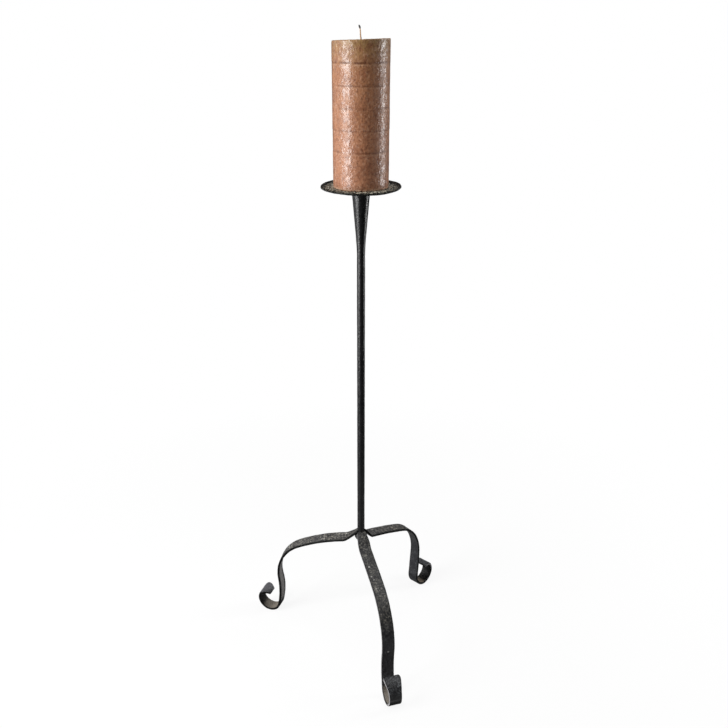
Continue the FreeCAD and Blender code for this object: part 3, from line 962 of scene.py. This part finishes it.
def wax(top):
    """Copper-brown wax, poured in layers, with a crystalline skin and a satin sheen on its side."""
    s = Shader("layered copper wax")
    grains = s.stretch(1, 1, 0.8)
    poured = len(SEAM_STRENGTHS) * LAYER
    drift = s.times(s.math("SUBTRACT", s.noise(45, 2, 0.5), 0.5), 0.010)
    level = s.math("ADD", s.split(s.position)["Z"], drift)
    share = s.math("DIVIDE", s.math("SUBTRACT", level, top - poured), poured)
    colour = s.ramp(share, *WAX_LAYERS)
    mottle = s.ramp(s.noise(120, 4, 0.65, grains, 0.4), (0.36, 0.65), (0.56, 0.0))
    colour = s.mix(mottle, colour, WAX_MOTTLE)
    frost = s.rise(s.noise(260, 3, 0.6, grains, 0.5), 0.52, 0.66)
    colour = s.mix(s.times(frost, 0.26), colour, WAX_FROST)
    speck = s.fall(s.noise(340, 3, 0.6, s.stretch(1, 1, 0.9, shift=0.4)), 0.38, 0.46)
    colour = s.mix(s.times(speck, 0.55), colour, WAX_SPECK)
    for field, strength, tint in (("shade", 0.55, WAX_SHADE), ("ledge", 0.38, WAX_LEDGE),
                                  ("groove", 0.85, WAX_GROOVE)):
        colour = s.mix(s.times(s.field(field), strength), colour, tint)

    side = s.fall(s.math("ABSOLUTE", s.upward()), 0.55, 0.90)
    crystals = s.ramp(s.noise(250, 3, 0.65, s.stretch(1, 1, 0.6, shift=0.7)), (0.475, 0.13), (0.57, 1.0))
    patches = s.ramp(s.noise(48, 2, 0.5, s.stretch(1, 1, 1, shift=0.2)), (0.35, 0.55), (0.60, 1.0))
    glassy = s.times(crystals, patches, s.fall(s.field("groove"), 0.1, 0.7), side)
    rough = s.mix(side, 0.8, s.ramp(s.noise(380, 3, 0.6, grains), (0.35, 0.34), (0.65, 0.50)))
    grain = s.math("ADD", s.noise(380, 3, 0.6, grains, 0.3),
                   s.times(s.cells(420, grains, "SMOOTH_F1"), 0.5))
    normal = s.bump(grain, 1.0, 0.00045)
    return s.finish(Base_Color=colour, Metallic=0.0, Roughness=rough, Normal=normal,
                    Specular_IOR_Level=s.ramp(side, (0.0, 0.15), (1.0, 0.45)),
                    Sheen_Weight=s.times(side, 0.32), Sheen_Roughness=0.45, Sheen_Tint=WAX_SHEEN,
                    Coat_Weight=glassy, Coat_Roughness=0.09, Coat_IOR=1.6, Coat_Normal=normal)


def cotton():
    """Waxed cotton braid whose tip was dipped and has gone black."""
    s = Shader("waxed cotton wick")
    burnt = s.field("burnt")
    colour = s.mix(burnt, s.mix(s.noise(900, 3, 0.6), *WICK_COTTON), WICK_BURNT)
    normal = s.bump(s.noise(2600, 2, 0.6, s.stretch(1, 1, 0.3)), 0.6, 0.0002)
    return s.finish(Base_Color=colour, Roughness=s.mix(burnt, 0.62, 0.38), Specular_IOR_Level=0.4,
                    Normal=normal)


# ---------------------------------------------------------------- studio


def towards(azimuth, distance, height):
    """Point at a distance from the stem's axis and a height."""
    return Vector((distance * cos(azimuth), distance * sin(azimuth), height))


def make_camera():
    """Camera at the viewer's place, which looks down at the object."""
    data = bpy.data.cameras.new("camera")
    data.sensor_width = SENSOR_WIDTH
    data.lens = FOCAL_LENGTH
    data.shift_x = SHIFT_X
    camera = bpy.data.objects.new("camera", data)
    camera.location = towards(VIEW_AZIMUTH, VIEW_DISTANCE, VIEW_HEIGHT)
    look = towards(VIEW_AZIMUTH + pi, cos(VIEW_PITCH), -sin(VIEW_PITCH))
    camera.rotation_euler = look.to_track_quat("-Z", "Y").to_euler()
    bpy.context.scene.collection.objects.link(camera)
    bpy.context.scene.camera = camera


def softbox(name, turn, distance, height, aim, width, length, watts):
    """Rectangular light beside the stem that points at it. Its fields are those of SOFTBOXES."""
    data = bpy.data.lights.new(name, "AREA")
    data.shape = "RECTANGLE"
    data.size = width
    data.size_y = length
    data.energy = watts
    light = bpy.data.objects.new(name, data)
    light.location = towards(VIEW_AZIMUTH + radians(turn), distance, height)
    light.rotation_euler = (Vector((0, 0, aim)) - light.location).to_track_quat("-Z", "Y").to_euler()
    bpy.context.scene.collection.objects.link(light)


def white_floor():
    """Pale floor that glows, so that only a faint shadow shows where the feet stand on it."""
    s = Shader("white floor")
    away = s.times(s.length(s.position), 0.5)
    glow = s.ramp(away, (0.15, FLOOR_GLOW), (0.42, 1.0))
    white = s.ramp(away, (0.15, FLOOR_WHITE), (0.42, 0.0))
    return s.finish(Base_Color=white, Roughness=1.0, Specular_IOR_Level=0.0,
                    Emission_Color=glow, Emission_Strength=1.0)


def white_card():
    """Dull card that throws a little light up from the floor."""
    return Shader("white card").finish(Base_Color=rgba(CARD_WHITE), Roughness=1.0,
                                       Specular_IOR_Level=0.0)


def disc(name, radius, height, material):
    """Flat disc about the stem's axis, as part of the stage."""
    sides = 96
    points = [(radius * cos(i * FULL_TURN / sides), radius * sin(i * FULL_TURN / sides), height)
              for i in range(sides)]
    mesh = bpy.data.meshes.new(name)
    mesh.from_pydata(points, [], [tuple(range(sides))])
    mesh.materials.append(material)
    obj = bpy.data.objects.new(name, mesh)
    bpy.context.scene.collection.objects.link(obj)
    return obj


def make_world():
    """White where the camera sees it, and a faint cool fill for everything else."""
    world = bpy.data.worlds.new("studio")
    world.use_nodes = True
    tree = world.node_tree
    tree.nodes.clear()
    rays = tree.nodes.new("ShaderNodeLightPath")
    fill, shown = (tree.nodes.new("ShaderNodeBackground") for _ in range(2))
    for background, colour, strength in ((fill, FILL_COLOUR, FILL_LIGHT), (shown, (1, 1, 1), 1.0)):
        background.inputs["Color"].default_value = rgba(colour)
        background.inputs["Strength"].default_value = strength
    blend = tree.nodes.new("ShaderNodeMixShader")
    out = tree.nodes.new("ShaderNodeOutputWorld")
    tree.links.new(rays.outputs["Is Camera Ray"], blend.inputs[0])
    tree.links.new(fill.outputs[0], blend.inputs[1])
    tree.links.new(shown.outputs[0], blend.inputs[2])
    tree.links.new(blend.outputs[0], out.inputs["Surface"])
    bpy.context.scene.world = world


def make_studio():
    """White floor that only the camera sees, a card on it that only the object sees, and softboxes."""
    floor = disc("studio_floor", FLOOR_RADIUS, 0, white_floor())
    for rays in ("visible_diffuse", "visible_glossy", "visible_transmission", "visible_shadow"):
        setattr(floor, rays, False)
    card = disc("bounce_card", CARD_RADIUS, -CARD_DEPTH, white_card())
    card.visible_camera = False
    make_world()
    for name, settings in SOFTBOXES.items():
        softbox(name, *settings)
    bpy.context.scene.view_settings.view_transform = "Standard"


def main():
    make_camera()
    make_studio()
    for index, (name, leg) in enumerate(LEGS.items()):
        place(make_leg(name, leg, 101 + index), name, "stand")
    place(make_stem(), "stem", "stand")
    place(make_cone(), "stem_cone", "stand")
    place(make_pan(), "drip_pan", "stand")
    place(make_spike(), "candle_spike", "stand")
    place(make_weld(), "root_weld", "stand")
    place(make_candle(), "candle_wax", "candle")
    place(make_wick(), "candle_wick", "candle")


main()
